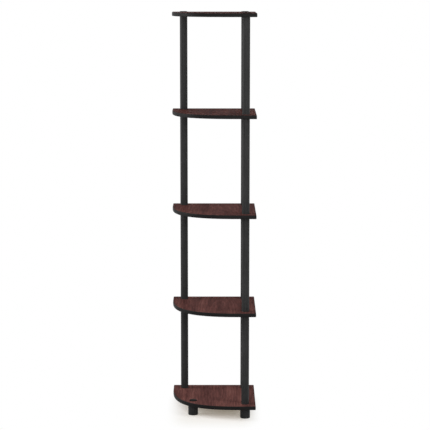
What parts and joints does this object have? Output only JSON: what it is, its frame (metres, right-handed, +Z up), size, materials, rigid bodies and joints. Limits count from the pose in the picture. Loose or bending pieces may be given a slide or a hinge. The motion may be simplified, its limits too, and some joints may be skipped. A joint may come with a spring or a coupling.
{
  "type": "corner shelf unit",
  "caption": "Tall open corner shelf: square boards with one big rounded corner, stacked on black tube posts that screw together through the boards.",
  "frame": {"origin": "on the floor, under the middle of the boards", "axes": "+Z up; the two walls of the room's corner stand along +X and +Y; the rounded corner faces -X and -Y"},
  "size_m": [0.3, 0.3, 1.446],
  "materials": {
    "cherry_laminate": "dark cherry wood-grain laminate, satin",
    "band_plastic": "black edge band, satin",
    "tube_plastic": "black extruded tube, satin",
    "plug_plastic": "black moulded plastic, matt",
    "cap_plastic": "black moulded plastic, satin",
    "foot_plastic": "black moulded plastic, matt"
  },
  "bodies": {
    "root": {"shelf_board_1": "cherry_laminate", "shelf_board_2": "cherry_laminate", "shelf_board_3": "cherry_laminate", "shelf_board_4": "cherry_laminate", "shelf_board_5": "cherry_laminate", "edge_band_1": "band_plastic", "edge_band_2": "band_plastic", "edge_band_3": "band_plastic", "edge_band_4": "band_plastic", "edge_band_5": "band_plastic", "left_foot": "foot_plastic", "left_tube_1": "tube_plastic", "left_tube_2": "tube_plastic", "left_tube_3": "tube_plastic", "left_tube_4": "tube_plastic", "left_stud_1": "plug_plastic", "left_stud_2": "plug_plastic", "left_stud_3": "plug_plastic", "left_stud_4": "plug_plastic", "left_socket_1": "plug_plastic", "left_socket_2": "plug_plastic", "left_socket_3": "plug_plastic", "left_socket_4": "plug_plastic", "left_cap": "cap_plastic", "corner_foot": "foot_plastic", "corner_tube_1": "tube_plastic", "corner_tube_2": "tube_plastic", "corner_tube_3": "tube_plastic", "corner_tube_4": "tube_plastic", "corner_stud_1": "plug_plastic", "corner_stud_2": "plug_plastic", "corner_stud_3": "plug_plastic", "corner_stud_4": "plug_plastic", "corner_socket_1": "plug_plastic", "corner_socket_2": "plug_plastic", "corner_socket_3": "plug_plastic", "corner_socket_4": "plug_plastic", "corner_cap": "cap_plastic", "right_foot": "foot_plastic", "right_tube_1": "tube_plastic", "right_tube_2": "tube_plastic", "right_tube_3": "tube_plastic", "right_tube_4": "tube_plastic", "right_stud_1": "plug_plastic", "right_stud_2": "plug_plastic", "right_stud_3": "plug_plastic", "right_stud_4": "plug_plastic", "right_socket_1": "plug_plastic", "right_socket_2": "plug_plastic", "right_socket_3": "plug_plastic", "right_socket_4": "plug_plastic", "right_cap": "cap_plastic", "front_foot": "foot_plastic", "front_cap": "cap_plastic"}
  },
  "joints": []
}
